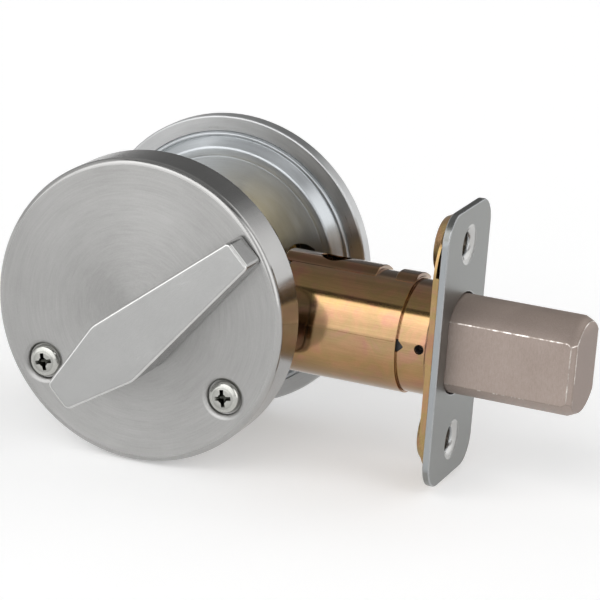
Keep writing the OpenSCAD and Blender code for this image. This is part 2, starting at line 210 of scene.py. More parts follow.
# ---------------------------------------------------------------- materials
class Mat:
    """A short way of writing node trees."""

    def __init__(self, name):
        self.m = bpy.data.materials.new(name)
        self.m.use_nodes = True
        self.t = self.m.node_tree
        self.t.nodes.clear()
        self.out = self.t.nodes.new("ShaderNodeOutputMaterial")
        self.b = self.t.nodes.new("ShaderNodeBsdfPrincipled")
        self.t.links.new(self.b.outputs[0], self.out.inputs[0])
        self.b.inputs["Metallic"].default_value = 1.0
        c = self.t.nodes.new("ShaderNodeTexCoord")
        v = self.t.nodes.new("ShaderNodeVectorMath")
        v.operation = "SCALE"
        v.inputs["Scale"].default_value = 1000.0
        self.t.links.new(c.outputs["Object"], v.inputs[0])
        self.mm = v.outputs[0]
        s = self.t.nodes.new("ShaderNodeSeparateXYZ")
        self.t.links.new(self.mm, s.inputs[0])
        self.x, self.y, self.z = s.outputs

    def math(self, op, a, b=0.0, c=0.0, clamp=False):
        n = self.t.nodes.new("ShaderNodeMath")
        n.operation, n.use_clamp = op, clamp
        for i, v in enumerate((a, b, c)):
            if isinstance(v, (int, float)):
                n.inputs[i].default_value = v
            else:
                self.t.links.new(v, n.inputs[i])
        return n.outputs[0]

    def vec(self, x, y, z):
        n = self.t.nodes.new("ShaderNodeCombineXYZ")
        for i, v in enumerate((x, y, z)):
            if isinstance(v, (int, float)):
                n.inputs[i].default_value = v
            else:
                self.t.links.new(v, n.inputs[i])
        return n.outputs[0]

    def noise(self, vec, scale=1.0, detail=3.0, rough=0.55, distort=0.0):
        n = self.t.nodes.new("ShaderNodeTexNoise")
        n.inputs["Scale"].default_value = scale
        n.inputs["Detail"].default_value = detail
        n.inputs["Roughness"].default_value = rough
        n.inputs["Distortion"].default_value = distort
        self.t.links.new(vec, n.inputs["Vector"])
        return n.outputs[0]

    def span(self, v, a0, a1, b0, b1):
        n = self.t.nodes.new("ShaderNodeMapRange")
        n.inputs["From Min"].default_value = a0
        n.inputs["From Max"].default_value = a1
        n.inputs["To Min"].default_value = b0
        n.inputs["To Max"].default_value = b1
        self.t.links.new(v, n.inputs["Value"])
        return n.outputs[0]

    def ramp(self, v, stops):
        n = self.t.nodes.new("ShaderNodeValToRGB")
        e = n.color_ramp.elements
        while len(e) < len(stops):
            e.new(0.5)
        for el, (p, c) in zip(e, stops):
            el.position = p
            el.color = (c[0], c[1], c[2], 1)
        self.t.links.new(v, n.inputs[0])
        return n.outputs[0]

    def mix(self, f, a, b, blend="MIX"):
        n = self.t.nodes.new("ShaderNodeMix")
        n.data_type, n.blend_type = "RGBA", blend
        for sock, v in ((n.inputs[0], f), (n.inputs[6], a), (n.inputs[7], b)):
            if isinstance(v, (int, float)):
                sock.default_value = v
            elif isinstance(v, (tuple, list)):
                sock.default_value = (v[0], v[1], v[2], 1)
            else:
                self.t.links.new(v, sock)
        return n.outputs[2]

    def polar(self, cx, cz):
        dx, dz = self.math("SUBTRACT", self.x, cx), self.math("SUBTRACT", self.z, cz)
        r = self.math("SQRT", self.math("ADD", self.math("MULTIPLY", dx, dx), self.math("MULTIPLY", dz, dz)))
        rs = self.math("MAXIMUM", r, 0.01)
        return r, self.math("DIVIDE", dx, rs), self.math("DIVIDE", dz, rs)

    def set(self, color=None, rough=None, bump=None, bump_mm=0.02, strength=0.5):
        if color is not None:
            self.t.links.new(color, self.b.inputs["Base Color"])
        if rough is not None:
            self.t.links.new(rough, self.b.inputs["Roughness"])
        if bump is not None:
            n = self.t.nodes.new("ShaderNodeBump")
            n.inputs["Distance"].default_value = bump_mm * MM
            n.inputs["Strength"].default_value = strength
            self.t.links.new(bump, n.inputs["Height"])
            self.t.links.new(n.outputs[0], self.b.inputs["Normal"])
        return self.m

    def tangent(self, axis, aniso, rotation=0.0):
        n = self.t.nodes.new("ShaderNodeTangent")
        n.direction_type, n.axis = "RADIAL", axis
        self.t.links.new(n.outputs[0], self.b.inputs["Tangent"])
        self.b.inputs["Anisotropic"].default_value = aniso
        self.b.inputs["Anisotropic Rotation"].default_value = rotation


def turned(name, cx, cz, lo, hi, r0, r1, aniso=0.6, rotation=0.0, k=(4.0, 1.1), bump=0.006, polished=None):
    """Metal brushed or turned in circles about a Y line at (cx, cz)."""
    m = Mat(name)
    r, c, s = m.polar(cx, cz)
    fine = m.noise(m.vec(m.math("MULTIPLY", r, k[0]), m.math("MULTIPLY", c, 4.6), m.math("MULTIPLY", s, 4.6)), 1.0, 4, 0.6)
    arcs = m.noise(m.vec(m.math("MULTIPLY", r, k[1]), m.math("MULTIPLY", c, 2.4), m.math("MULTIPLY", s, 2.4)), 1.0, 3, 0.5)
    cloud = m.noise(m.mm, 0.07, 2, 0.5)
    grain = m.noise(m.mm, 3.2, 2, 0.6)
    v = m.math("ADD", m.math("MULTIPLY", fine, 0.34), m.math("MULTIPLY", arcs, 0.18))
    v = m.math("ADD", v, m.math("ADD", m.math("MULTIPLY", cloud, 0.32), m.math("MULTIPLY", grain, 0.16)))
    col = m.ramp(v, [(0.30, lo), (0.70, hi)])
    rough = m.span(m.math("ADD", m.math("MULTIPLY", fine, 0.6), m.math("MULTIPLY", arcs, 0.4)), 0.3, 0.7, r0, r1)
    if polished:
        rough = m.math("MULTIPLY", rough, m.span(r, polished[0], polished[1], 1.0, polished[2]))
    m.tangent("Y", aniso, rotation)
    return m.set(col, rough, m.math("ADD", m.math("MULTIPLY", fine, 0.7), m.math("MULTIPLY", grain, 0.3)), 0.02, bump * 50)


def streaked(name, lo, hi, r0, r1, axis="x", k=(0.25, 7.0), aniso=0.0, tangent="X", bump=0.3, angle=0.0, metallic=1.0, tint=None, tint_scale=0.12, coat=0.0, shade=()):
    """Metal with a grain that runs along one axis; each shade (axis, from, to, colour stops) multiplies a slow tone
    over it: painted light and shade on the zinc tube and the bolt, the plated face on the brass.
    """
    m = Mat(name)
    a, b, c = m.x, m.y, m.z
    if angle:
        ca, sa = math.cos(angle), math.sin(angle)
        a = m.math("ADD", m.math("MULTIPLY", m.x, ca), m.math("MULTIPLY", m.z, sa))
        c = m.math("SUBTRACT", m.math("MULTIPLY", m.z, ca), m.math("MULTIPLY", m.x, sa))
    k0 = {"x": (k[0], k[1], k[1]), "y": (k[1], k[0], k[1]), "z": (k[1], k[1], k[0])}[axis]
    lines = m.noise(m.vec(m.math("MULTIPLY", a, k0[0]), m.math("MULTIPLY", b, k0[1]), m.math("MULTIPLY", c, k0[2])), 1.0, 4, 0.6)
    cloud = m.noise(m.mm, tint_scale, 3, 0.55, 0.3)
    grain = m.noise(m.mm, 4.0, 2, 0.6)
    v = m.math("ADD", m.math("MULTIPLY", lines, 0.5), m.math("ADD", m.math("MULTIPLY", cloud, 0.3), m.math("MULTIPLY", grain, 0.2)))
    col = m.ramp(v, [(0.30, lo), (0.70, hi)])
    if tint:
        hue = m.ramp(m.noise(m.mm, tint_scale * 1.7, 2, 0.5, 0.6), tint)
        col = m.mix(1.0, col, hue, "MULTIPLY")
    for ax, lo_at, hi_at, tones in shade:
        along = m.span({"x": m.x, "y": m.y, "z": m.z}[ax], lo_at, hi_at, 0.0, 1.0)
        along = m.math("ADD", along, m.math("MULTIPLY", m.math("SUBTRACT", cloud, 0.5), 0.06))
        col = m.mix(1.0, col, m.ramp(along, tones), "MULTIPLY")
    rough = m.span(m.math("ADD", m.math("MULTIPLY", lines, 0.6), m.math("MULTIPLY", cloud, 0.4)), 0.3, 0.7, r0, r1)
    if aniso:
        m.tangent(tangent, aniso)
    m.b.inputs["Metallic"].default_value = metallic
    if coat:
        m.b.inputs["Coat Weight"].default_value = coat
        m.b.inputs["Coat Roughness"].default_value = 0.08
    return m.set(col, rough, m.math("ADD", m.math("MULTIPLY", lines, 0.6), m.math("MULTIPLY", grain, 0.4)), 0.02, bump)


def nylon_material(name, lo, hi):
    m = Mat(name)
    m.b.inputs["Metallic"].default_value = 0.0
    m.b.inputs["Subsurface Weight"].default_value = 0.0
    v = m.math("ADD", m.math("MULTIPLY", m.noise(m.mm, 0.5, 3), 0.6), m.math("MULTIPLY", m.noise(m.mm, 5.0, 2), 0.4))
    return m.set(m.ramp(v, [(0.3, lo), (0.7, hi)]), m.span(v, 0.3, 0.7, 0.38, 0.55), v, 0.03, 0.4)


ROSE = turned("satin_rose", 0.0, 1.8, (0.325, 0.322, 0.315), (0.465, 0.462, 0.455), 0.28, 0.40, 0.8, rotation=0.25, polished=(30.0, 30.5, 0.55))
RING = turned("satin_ring", 0.0, 1.8, (0.45, 0.455, 0.457), (0.60, 0.605, 0.607), 0.26, 0.36, 0.8, rotation=0.25)
DISH = turned("turned_dish", 0.0, 1.8, (0.43, 0.452, 0.467), (0.58, 0.607, 0.628), 0.34, 0.44, 0.8, rotation=0.25, polished=(24.2, 24.8, 0.82), k=(5.0, 0.6))
LEVER = streaked("satin_lever", (0.33, 0.33, 0.325), (0.39, 0.39, 0.385), 0.20, 0.28, "x", (0.35, 4.0), bump=0.12, angle=PI / 4)


def screw_material():
    m = Mat("bright_screw")
    dx = m.math("SUBTRACT", m.math("ABSOLUTE", m.x), 20.1)
    dz = m.math("ADD", m.z, 12.4)
    r = m.math("SQRT", m.math("ADD", m.math("MULTIPLY", dx, dx), m.math("MULTIPLY", dz, dz)))
    n = m.math("ADD", m.math("MULTIPLY", m.noise(m.mm, 0.6, 3, 0.6), 0.6), m.math("MULTIPLY", m.noise(m.mm, 4.0, 3, 0.6), 0.4))
    col = m.ramp(n, [(0.3, (0.40, 0.40, 0.375)), (0.7, (0.56, 0.56, 0.53))])
    # painted shade down in the driver recess: a near-black colour stands in for the shadow there
    painted_recess_shade = m.math("MULTIPLY", m.span(m.y, -25.95, -25.35, 0.0, 1.0), m.span(r, 2.35, 2.15, 0.0, 1.0))
    col = m.mix(m.math("MULTIPLY", painted_recess_shade, m.span(m.y, -24.2, -24.4, 0.0, 1.0)), col, (0.05, 0.052, 0.045))
    return m.set(col, m.span(n, 0.3, 0.7, 0.14, 0.24), n, 0.02, 0.3)


SCREW = screw_material()
IRID = [(0.28, (1.0, 0.86, 1.02)), (0.43, (1.0, 1.0, 0.95)), (0.57, (0.88, 1.0, 0.84)), (0.72, (1.0, 0.93, 1.06))]
# painted light and shade on the tube: darker and yellower towards the bottom, a painted lighter band at about z 8 and
# painted shade along the very top
ZINC = streaked("yellow_zinc", (0.36, 0.200, 0.104), (0.50, 0.300, 0.170), 0.10, 0.16, "x", (0.12, 5.0), bump=0.12, tint=IRID, coat=0.5,
                shade=[("z", -13.0, 13.0, [(0.0, (0.74, 0.66, 0.48)), (0.34, (0.86, 0.80, 0.64)), (0.5, (1.0, 1.0, 1.0)), (0.72, (1.0, 0.98, 0.97)),
                                            (0.80, (1.15, 1.16, 0.92)), (0.88, (1.0, 0.95, 0.80)), (0.96, (0.50, 0.43, 0.38))])])
ZINC_PLATE = streaked("yellow_zinc_plate", (0.35, 0.215, 0.105), (0.47, 0.30, 0.16), 0.2, 0.3, "z", (0.15, 4.0), bump=0.15, tint=IRID)


def face_material():
    m = Mat("stamped_face")
    lines = m.noise(m.vec(m.math("MULTIPLY", m.x, 3.5), m.math("MULTIPLY", m.y, 3.5), m.math("MULTIPLY", m.z, 0.25)), 1.0, 4, 0.6)
    cloud = m.noise(m.mm, 0.11, 3, 0.55, 0.4)
    grain = m.noise(m.mm, 3.0, 2, 0.6)
    v = m.math("ADD", m.math("MULTIPLY", lines, 0.35), m.math("ADD", m.math("MULTIPLY", cloud, 0.3), m.math("MULTIPLY", grain, 0.35)))
    col = m.ramp(v, [(0.30, (0.195, 0.20, 0.195)), (0.70, (0.275, 0.28, 0.27))])
    # the machined countersinks are brighter than the stamped face
    dz = m.math("SUBTRACT", m.math("ABSOLUTE", m.z), 20.65)
    r = m.math("SQRT", m.math("ADD", m.math("MULTIPLY", m.y, m.y), m.math("MULTIPLY", dz, dz)))
    sink = m.span(r, 4.25, 4.0, 0.0, 1.0)
    col = m.mix(sink, col, (0.50, 0.497, 0.485))
    # painted light on the side edges: they are coloured lighter and cooler than the face
    col = m.mix(m.math("MULTIPLY", m.span(m.math("ABSOLUTE", m.y), 12.45, 12.65, 0.0, 1.0), 0.8), col, (0.36, 0.38, 0.395))
    rough = m.math("SUBTRACT", m.span(v, 0.3, 0.7, 0.28, 0.40), m.math("MULTIPLY", sink, 0.14))
    return m.set(col, rough, m.math("ADD", m.math("MULTIPLY", lines, 0.5), m.math("MULTIPLY", grain, 0.5)), 0.02, 0.3)


FACE = face_material()
# painted light: the bolt's top (z above about 7) is painted up to 1.3 times lighter, and painted shade makes its end
# face darker
BOLT = streaked("satin_bolt", (0.28, 0.225, 0.195), (0.39, 0.325, 0.29), 0.46, 0.58, "z", (1.2, 4.5), bump=0.5, metallic=0.72,
                shade=[("z", 7.0, 10.2, [(0.0, (1.0, 1.0, 1.0)), (1.0, (1.3, 1.28, 1.26))]), ("x", 86.3, 86.65, [(0.0, (1.0, 1.0, 1.0)), (1.0, (0.80, 0.77, 0.76))])])
STEEL = streaked("dull_steel", (0.40, 0.40, 0.385), (0.52, 0.52, 0.50), 0.26, 0.4, "x", (0.3, 3.0), bump=0.3)
DARK = streaked("dark_steel", (0.15, 0.15, 0.155), (0.24, 0.24, 0.245), 0.28, 0.42, "x", (0.3, 3.0), bump=0.3)
BRASS = streaked("machined_brass", (0.55, 0.42, 0.20), (0.68, 0.54, 0.28), 0.18, 0.3, "y", (0.3, 5.0), bump=0.2,
                 shade=[("y", 31.2, 31.8, [(0.0, (1.0, 1.0, 1.0)), (1.0, (0.88, 1.12, 2.1))])])  # the outside face is plated to match the ring
NYLON = nylon_material("white_nylon", (0.60, 0.59, 0.55), (0.72, 0.71, 0.67))
NYLON_DARK = nylon_material("dark_nylon", (0.015, 0.015, 0.016), (0.03, 0.03, 0.032))
# a lighter, smoother copy of the lever metal for its bevels: a painted highlight along the edges
LEVER_EDGE = streaked("satin_lever_edge", (0.50, 0.50, 0.49), (0.66, 0.66, 0.65), 0.14, 0.24, "x", (0.5, 3.0), bump=0.08, angle=PI / 4)


def bolt_edge_material():
    """The bolt's arrises: a painted highlight, broken up in places and fading towards the bottom."""
    m = Mat("satin_bolt_edge")
    painted_edge_highlight = m.noise(m.vec(m.math("MULTIPLY", m.x, 0.8), m.math("MULTIPLY", m.y, 0.25), m.math("MULTIPLY", m.z, 0.25)), 1.0, 4, 0.7)
    # painted light: the highlight is weaker low on the bolt
    painted_edge_highlight = m.math("ADD", painted_edge_highlight, m.span(m.z, -6.0, 4.0, -0.11, 0.01))
    col = m.ramp(painted_edge_highlight, [(0.40, (0.30, 0.25, 0.22)), (0.50, (0.45, 0.40, 0.365)), (0.64, (0.80, 0.75, 0.70))])
    return m.set(col, m.span(painted_edge_highlight, 0.4, 0.65, 0.42, 0.22), m.noise(m.mm, 4.0, 2, 0.6), 0.02, 0.5)


BOLT_EDGE = bolt_edge_material()
# a lighter, cooler copy of the face metal for the faceplate's bevels: a painted highlight along the edges
FACE_EDGE = streaked("stamped_face_edge", (0.30, 0.31, 0.315), (0.44, 0.45, 0.455), 0.22, 0.32, "z", (0.25, 3.0), bump=0.15)
SPRING = streaked("spring_wire", (0.5, 0.5, 0.48), (0.65, 0.65, 0.62), 0.18, 0.28, "x", (1, 3.0), bump=0.1)

# ---------------------------------------------------------------- sizes, repeated from the CAD source (mm)
TZ, HZ = 1.8, -4.4
FY = -25.4
BACK_X, PLATE_X, FRONT_X = 57.5, 58.8, 60.3
DOOR = 20.0
DISH_Y = DOOR - 2.5
SX, SZ = 20.1, -12.4
GAP = 41.3


def d_outline(r, hw, n=40):
    """The bolt's section as (y, z) points."""
    a0 = math.asin(hw / r)
    top = [(r * math.sin(a0 - 2 * a0 * i / n), r * math.cos(a0 - 2 * a0 * i / n)) for i in range(n + 1)]
    low = [(-y, -z) for y, z in top]
    return top + low


def plate_outline(h, w, r, n=14):
    return fillet([(w / 2, h / 2), (-w / 2, h / 2), (-w / 2, -h / 2), (w / 2, -h / 2)], r, n)


put_x = lambda u, v, h: (h, u, v)

# ---------------------------------------------------------------- inside rose
outer = fillet([(0, FY), (31.5, FY), (31.5, -16.2), (30.2, -16.2), (30.2, FY + 1.3), (0, FY + 1.3)],
               [0, 1.4, 0.25, 0.15, 0.8, 0], 10)
rose = lathe("rose_shell", outer, "y", (0, TZ), 256)
for s in (-1, 1):
    boolean(rose, lathe("boss", [(0, FY + 1.1), (5.4, FY + 1.1), (5.4, FY + 2.5), (0, FY + 2.5)], "y", (s * SX, SZ), 72), "UNION")
    boolean(rose, lathe("recess", [(0, FY - 1), (4.75, FY - 1), (4.75, FY - 0.01), (4.5, FY + 0.05), (4.2, FY + 0.18), (3.92, FY + 0.38),
                                   (3.7, FY + 0.64), (3.62, FY + 0.85), (3.6, FY + 1.1), (2.3, FY + 1.1), (2.3, FY + 3), (0, FY + 3)],
                          "y", (s * SX, SZ), 96))
boolean(rose, lathe("hub_hole", [(0, FY - 1), (6.6, FY - 1), (6.6, FY + 0.0), (6.45, FY + 0.15), (6.45, FY + 3), (0, FY + 3)], "y", (0, HZ), 96))
finish_piece(rose, ROSE, "housing", ["inside_rose"], 0.12, 2, 40)

# ---------------------------------------------------------------- mounting screws
screws = None
for s in (-1, 1):
    prof = fillet([(0, FY + 1.1), (3.2, FY + 1.1), (3.25, FY + 0.3), (3.0, FY - 0.04), (2.5, FY - 0.28), (1.8, FY - 0.46), (0.9, FY - 0.57), (0, FY - 0.6)],
                  [0, 0.1, 0.25, 0.5, 1, 1, 1, 0], 4)
    head = lathe("screw_head", prof, "y", (s * SX, SZ), 96)
    for q in (10 + (0 if s > 0 else 6), 100 + (0 if s > 0 else 6)):
        ca, sa = math.cos(math.radians(q)), math.sin(math.radians(q))
        secs = []
        for (hl, hw, y) in ((2.05, 0.47, FY - 1.2), (1.85, 0.41, FY - 0.5), (1.1, 0.25, FY + 0.75)):
            secs.append([(s * SX + u * ca - v * sa, y, SZ + u * sa + v * ca)
                         for u, v in ((-hl, -hw), (hl, -hw), (hl, hw), (-hl, hw))])
        boolean(head, loft("cross", secs))
    boolean(head, lathe("cross_mid", [(0, FY - 1.2), (1.05, FY - 1.2), (0.95, FY - 0.4), (0.45, FY + 0.8), (0, FY + 0.85)], "y", (s * SX, SZ), 32))
    # threaded shank
    nt, pitch, y0, y1 = 28, 0.8, -6.0, 21.0
    rings = []
    steps = int((y1 - y0) / pitch * 6)
    heights = [FY + 1.1, FY + 1.3, y0 - 0.2] + [y0 + (y1 - y0) * i / steps for i in range(steps + 1)]
    for h in heights:
        ring = []
        for t in range(nt):
            a = 2 * PI * t / nt
            ph = ((h - y0) / pitch - t / nt) % 1.0
            depth = 0.0 if h <= y0 else 0.34 * min(1.0, (h - y0) / 1.2) * (1 - abs(2 * ph - 1))
            r = 2.06 - depth - (0.5 * max(0.0, (h - (y1 - 0.6)) / 0.6))
            ring.append((s * SX + r * math.cos(a), h, SZ + r * math.sin(a)))
        rings.append(ring)
    join(head, loft("shank", rings))
    screws = head if screws is None else join(screws, head)
screws.name = "mounting_screw_pair"
finish_piece(screws, SCREW, "housing", ["mounting_screws"], 0.07, 2, 40)

# ---------------------------------------------------------------- thumbturn
L1, L0, LS, HW, HE = 34.1, -13.0, 1.6, 6.95, 3.25
c45 = math.sqrt(0.5)


def lever_pt(s, w, y):
    return (c45 * s - c45 * w, y, HZ + c45 * s + c45 * w)


def inset(poly, d):
    """A convex outline moved inwards by d."""
    n, out = len(poly), []
    area = sum(poly[i][0] * poly[(i + 1) % n][1] - poly[(i + 1) % n][0] * poly[i][1] for i in range(n))
    sg = 1 if area > 0 else -1
    lines = []
    for i in range(n):
        a, b = Vector(poly[i]), Vector(poly[(i + 1) % n])
        t = (b - a).normalized()
        nrm = Vector((-t.y, t.x)) * sg
        lines.append((a + nrm * d, t))
    for i in range(n):
        (p, t), (q, u) = lines[i - 1], lines[i]
        k = ((q - p).x * u.y - (q - p).y * u.x) / (t.x * u.y - t.y * u.x)
        out.append(tuple(p + t * k))
    return out


corners = [(L1, HE), (LS, HW), (L0, HE), (L0, -HE), (LS, -HW), (L1, -HE)]
LB = 0.62


def lever_ring(d, drop, bottom=False):
    radii = [max(0.45, 1.0 - d), 5.0, max(0.45, 1.4 - d), max(0.45, 1.4 - d), 5.0, max(0.45, 1.0 - d)]
    pts_ = fillet(inset(corners, d) if d > 0 else corners, radii, 6)
    return [lever_pt(s, w, (FY - 0.35 - drop) if bottom else (-38.6 + 0.185 * s + drop)) for s, w in pts_]


rings = [lever_ring(0.3, 0.0, True), lever_ring(0.09, 0.09, True), lever_ring(0.0, 0.3, True)]
for q in range(7):
    f = PI / 2 * q / 6
    rings.append(lever_ring(LB * (1 - math.cos(f)), LB * (1 - math.sin(f))))
lever = loft("turn_lever", rings)
boolean(lever, lathe("turn_shaft", fillet([(0, FY - 1), (5, FY - 1), (5, -15.3), (4.2, -15.3), (4.2, -14.4), (5, -14.4), (5, -13.5), (0, -13.5)],
                                          [0, 0, 0.05, 0.05, 0.05, 0.05, 0.3, 0], 3), "y", (0, HZ), 96), "UNION")
boolean(lever, prism("tail_slot", [(-2.35, -1.15), (2.35, -1.15), (2.35, 1.15), (-2.35, 1.15)], -21.5, -12, lambda u, v, h: lever_pt(u, v, h)))
finish_piece(lever, LEVER, "turn", ["thumbturn"], 0)
# the bevel faces below get the painted-highlight edge metal
lever.data.materials.append(LEVER_EDGE)
top_n = Vector((0.185 * c45, -1.0, 0.185 * c45)).normalized()
for p in lever.data.polygons:
    k = p.normal.dot(top_n)
    if 0.2 < k < 0.985 and p.center.y < -0.0275:
        p.material_index = 1

# ---------------------------------------------------------------- faceplate and backplate
face = prism("face_plate", plate_outline(57.15, 25.4, 6.0), PLATE_X, FRONT_X, put_x)
boolean(face, prism("opening", d_outline(10.5, 8.17), PLATE_X - 1, FRONT_X + 1, put_x))
for s in (-1, 1):
    boolean(face, lathe("collar", [(0, 56.4), (3.2, 56.4), (3.2, PLATE_X + 0.2), (0, PLATE_X + 0.2)], "x", (0, s * GAP / 2), 96), "UNION")
    boolean(face, lathe("sink", [(0, 55), (2.5, 55), (2.5, 59.22), (4.12, 60.31), (4.9, 60.85), (0, 60.85)], "x", (0, s * GAP / 2), 96))
finish_piece(face, FACE, "housing", ["faceplate"], 0.25, 3, 35, edge=FACE_EDGE)

back = prism("back_plate", plate_outline(54.0, 24.6, 11.5), BACK_X, PLATE_X, put_x)
for s in (-1, 1):
    boolean(back, lathe("cup", fillet([(0, BACK_X - 2.8), (5.8, BACK_X - 2.8), (6.5, BACK_X - 1.4), (7.2, BACK_X + 0.1), (0, BACK_X + 0.1)],
                                      [0, 0.9, 2.0, 0, 0], 6), "x", (0, s * (GAP / 2 - 1.0)), 96), "UNION")
boolean(back, prism("opening", d_outline(10.48, 8.17), BACK_X - 1, PLATE_X + 1, put_x))
for s in (-1, 1):
    boolean(back, lathe("screw_way", [(0, 50), (2.7, 50), (2.7, 56.1), (3.5, 56.1), (4.9, 58.9), (0, 58.9)], "x", (0, s * GAP / 2), 64))
    boolean(back, block("relief", PLATE_X - 0.75, 61, s * 9.5 - 4, s * 9.5 + 4, 16.2, 22.8))
finish_piece(back, ZINC_PLATE, "housing", ["backplate"], 0.2, 2, 35)

# ---------------------------------------------------------------- latch tube
neck = lathe("tube_neck", fillet([(10.9, 46), (11.3, 46), (11.3, 50.95), (11.65, 51.1), (11.65, 56.7), (12.1, 57.5), (10.9, 57.5)],
                                 [0, 0.1, 0, 0.1, 0.9, 0, 0], 5), "x", (0, 0), 256)
boolean(neck, rod_y("witness", 1.0, -13, -9, 55.6, 0.8, 48))
boolean(neck, prism("notch", fillet([(50.0, -0.7), (50.0, 2.1), (51.0, 2.0), (52.3, 0.7), (51.0, -0.6)], [0, 0, 0.2, 0.25, 0.2], 4), -13, -10,
                    lambda u, v, h: (u, h, v)))
finish_piece(neck, ZINC, "housing", ["latch_neck"], 0.08, 2, 40)


def top_band(name, x0, x1, r0, r1, y0, y1, ramp, n=36):
    """A strip that follows the top of the tube between two sideways limits and rises gently from its near edge."""
    a0, a1 = math.asin(y0 / r1), math.asin(y1 / r1)
    secs = []
    for i in range(n + 1):
        a = a0 + (a1 - a0) * i / n
        t = min(1.0, (r1 * math.sin(a) - r1 * math.sin(a0)) / ramp)
        t = t * t * (3 - 2 * t)
        ra = r0 + 0.06 + (r1 - r0 - 0.06) * t
        rb = r0 - 0.15
        sn, cs = math.sin(a), math.cos(a)
        secs.append([(x0, rb * sn, rb * cs), (x1, rb * sn, rb * cs), (x1, (ra - 0.12) * sn, (ra - 0.12) * cs), (x1 - 0.15, ra * sn, ra * cs),
                     (x0 + 0.15, ra * sn, ra * cs), (x0, (ra - 0.12) * sn, (ra - 0.12) * cs)])
    return loft(name, secs)


sleeve = lathe("tube_sleeve", fillet([(11.35, 24), (12.05, 24), (12.05, 50.7), (11.35, 50.7)], [0.1, 0.15, 0.2, 0], 4), "x", (0, 0), 256)
boolean(sleeve, top_band("pad", 46.3, 50.5, 12.05, 12.8, -3.4, 7.3, 3.0), "UNION")
boolean(sleeve,
        prism("strap_hole", [(31.7 + 3.2 * math.cos(2 * PI * i / 64), 1.8 + 3.2 * math.sin(2 * PI * i / 64)) for i in range(64)], 8, 16,
              lambda u, v, h: (u, v, h)))
# the tube's folded seam
sa = math.radians(7.5)
ny, nz = -math.cos(sa), math.sin(sa)
ty, tz = math.sin(sa), math.cos(sa)
seam = []
for x in (27.5, 50.2):
    seam.append([(x, ny * r + ty * w, nz * r + tz * w) for r, w in ((11.93, -0.02), (12.4, -0.10), (12.4, 0.10), (11.93, 0.02))])
boolean(sleeve, loft("seam", seam))
finish_piece(sleeve, ZINC, "housing", ["latch_sleeve"], 0.1, 2, 40)

strap = top_band("tube_strap", 22, 42.2, 12.05, 12.9, -3.4, 7.3, 3.0)
boolean(strap, prism("strap_hole", [(31.7 + 3.2 * math.cos(2 * PI * i / 64), 1.8 + 3.2 * math.sin(2 * PI * i / 64)) for i in range(64)], 8, 16,
                     lambda u, v, h: (u, v, h)))
finish_piece(strap, ZINC, "housing", ["sleeve_strap"], 0.15, 2, 35)

# ---------------------------------------------------------------- deadbolt
secs = []
for x, r, hw in ((42, 9.9, 7.6), (42.3, 10.2, 7.87), (84.8, 10.2, 7.87), (85.6, 9.84, 7.87), (86.7, 9.3, 6.85)):
    secs.append([(x, y, z) for y, z in d_outline(r, hw)])
bolt = loft("bolt_bar", secs)
boolean(bolt, block("tail_slot", 41, 46.1, -3.45, 3.45, 3.1, 8.6))
boolean(bolt, rod_x("pin_bore", 3.05, 41, 82, 0, -4, 64))
finish_piece(bolt, BOLT, "bolt", ["deadbolt"], 0.26, 3, 25, edge=BOLT_EDGE)

# ---------------------------------------------------------------- outside trim
ring = lathe("trim_ring", fillet([(28.35, DOOR), (31.7, DOOR), (31.7, 23), (24.9, 33.3), (24.0, 33.9), (14.5, 33.9), (14.5, 31.7), (22.9, 31.7), (28.35, 23.2)],
                                 [0.15, 0.5, 0.6, 0.9, 1.2, 0.15, 0, 0, 0], 6), "y", (0, TZ), 256)
finish_piece(ring, RING, "housing", ["outside_ring"], 0.1, 2, 40)

dish_profile = [(14.5, DISH_Y), (23.2, DISH_Y), (23.35, DISH_Y + 0.07), (23.6, DISH_Y + 0.07), (23.75, DISH_Y), (24.5, DISH_Y + 0.0)]
dish_profile += fillet([(24.5, DISH_Y), (25.25, DISH_Y + 0.02), (27.1, 19.45)], [0, 1.3, 0], 8, closed=False)[1:]
dish_profile += fillet([(27.1, 19.45), (27.28, 19.62), (27.45, 19.3), (28.0, 19.3), (28.3, 19.9)], [0, 0.08, 0.25, 0.3, 0], 6, closed=False)[1:]
dish_profile += [(28.3, 21.2), (27.4, 21.2), (24.7, DISH_Y + 1.3), (14.5, DISH_Y + 1.2)]
dish = lathe("trim_dish", dish_profile, "y", (0, TZ), 256)
for s in (-1, 1):
    boolean(dish, lathe("dish_hole", [(0, 10), (4.3, 10), (4.3, 20), (0, 20)], "y", (s * 18, 5), 72))
    boolean(dish, lathe("boss", [(0, DISH_Y + 0.6), (3.8, DISH_Y + 0.6), (3.8, 24.5), (0, 24.5)], "y", (s * SX, SZ), 64), "UNION")
    boolean(dish, rod_y("tapped", 2.12, 10, 26, s * SX, SZ, 48))
finish_piece(dish, DISH, "housing", ["outside_plate"], 0.08, 2, 40)

